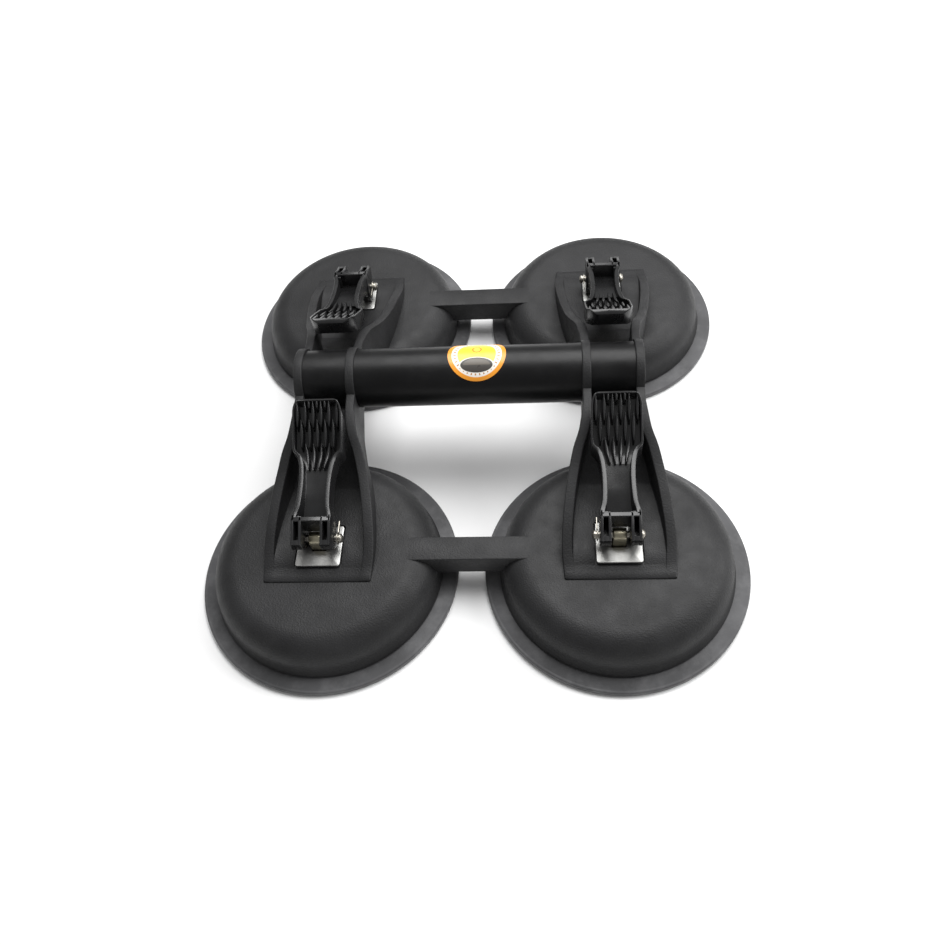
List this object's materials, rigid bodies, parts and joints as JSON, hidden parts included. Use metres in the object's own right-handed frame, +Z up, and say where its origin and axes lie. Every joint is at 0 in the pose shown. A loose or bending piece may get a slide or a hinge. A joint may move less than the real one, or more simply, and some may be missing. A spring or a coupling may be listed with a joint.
{
  "type": "vacuum suction cup lifter",
  "caption": "Vacuum lifter with round rubber pads under domed covers, a cross handle and forked cam levers that pull each pad's centre up.",
  "frame": {"origin": "on the floor under the middle of the handle tube, the centre of the footprint", "axes": "+Z up, X along the handle tube, +Y towards the rear pair of cups"},
  "size_m": [0.2524, 0.276, 0.0638],
  "materials": {
    "black_abs": "satin black moulded ABS with a fine grain",
    "lever_abs": "satin black moulded plastic, slightly glossier than the frame",
    "pad_rubber": "matte charcoal rubber with a trace of dust",
    "plate_steel": "bright pressed stainless steel",
    "disc_zinc": "zinc-plated steel",
    "stem_brass": "dull yellow-passivated metal",
    "pin_nickel": "nickel-plated steel",
    "label_vinyl": null
  },
  "bodies": {
    "frame": {"arm_left": "black_abs", "arm_right": "black_abs", "crossbar_front": "black_abs", "crossbar_rear": "black_abs", "dome_front_left": "black_abs", "dome_front_right": "black_abs", "dome_rear_left": "black_abs", "dome_rear_right": "black_abs", "handle_tube": "black_abs", "end_plug_left": "black_abs", "end_plug_right": "black_abs", "label": "label_vinyl", "pad_front_left": "pad_rubber", "pad_front_right": "pad_rubber", "pad_rear_left": "pad_rubber", "pad_rear_right": "pad_rubber", "wear_plate_front_left": "plate_steel", "wear_plate_front_right": "plate_steel", "wear_plate_rear_left": "plate_steel", "wear_plate_rear_right": "plate_steel"},
    "centre_front_left": {"stem_front_left": "stem_brass", "insert_disc_front_left": "disc_zinc", "pin_front_left": "pin_nickel", "clip_front_left": "pin_nickel"},
    "cam_lever_front_left": {"lever_front_left": "lever_abs"},
    "centre_front_right": {"stem_front_right": "stem_brass", "insert_disc_front_right": "disc_zinc", "pin_front_right": "pin_nickel", "clip_front_right": "pin_nickel"},
    "cam_lever_front_right": {"lever_front_right": "lever_abs"},
    "centre_rear_left": {"stem_rear_left": "stem_brass", "insert_disc_rear_left": "disc_zinc", "pin_rear_left": "pin_nickel", "clip_rear_left": "pin_nickel"},
    "cam_lever_rear_left": {"lever_rear_left": "lever_abs"},
    "centre_rear_right": {"stem_rear_right": "stem_brass", "insert_disc_rear_right": "disc_zinc", "pin_rear_right": "pin_nickel", "clip_rear_right": "pin_nickel"},
    "cam_lever_rear_right": {"lever_rear_right": "lever_abs"}
  },
  "joints": [
    {"name": "pull_front_left", "type": "slide", "parent": "frame", "child": "centre_front_left", "axis": [0, 0, 1], "range_m": [-0.002, 0], "deforming": ["pad_front_left"]},
    {"name": "swing_front_left", "type": "hinge", "parent": "centre_front_left", "child": "cam_lever_front_left", "pos_m": [-0.0662, -0.078, 0.0323], "axis": [1, 0, 0], "range_deg": [0, 55]},
    {"name": "pull_front_right", "type": "slide", "parent": "frame", "child": "centre_front_right", "axis": [0, 0, 1], "range_m": [-0.002, 0], "deforming": ["pad_front_right"]},
    {"name": "swing_front_right", "type": "hinge", "parent": "centre_front_right", "child": "cam_lever_front_right", "pos_m": [0.0662, -0.078, 0.0323], "axis": [1, 0, 0], "range_deg": [0, 55]},
    {"name": "pull_rear_left", "type": "slide", "parent": "frame", "child": "centre_rear_left", "axis": [0, 0, 1], "range_m": [-0.002, 0], "deforming": ["pad_rear_left"]},
    {"name": "swing_rear_left", "type": "hinge", "parent": "centre_rear_left", "child": "cam_lever_rear_left", "pos_m": [-0.0662, 0.078, 0.0323], "axis": [-1, 0, 0], "range_deg": [0, 55]},
    {"name": "pull_rear_right", "type": "slide", "parent": "frame", "child": "centre_rear_right", "axis": [0, 0, 1], "range_m": [-0.002, 0], "deforming": ["pad_rear_right"]},
    {"name": "swing_rear_right", "type": "hinge", "parent": "centre_rear_right", "child": "cam_lever_rear_right", "pos_m": [0.0662, 0.078, 0.0323], "axis": [-1, 0, 0], "range_deg": [0, 55]}
  ],
  "couplings": [
    {"joint": "pull_front_left", "follows": "swing_front_left", "m_per_rad": -0.0020834},
    {"joint": "pull_front_right", "follows": "swing_front_right", "m_per_rad": -0.0020834},
    {"joint": "pull_rear_left", "follows": "swing_rear_left", "m_per_rad": -0.0020834},
    {"joint": "pull_rear_right", "follows": "swing_rear_right", "m_per_rad": -0.0020834}
  ]
}
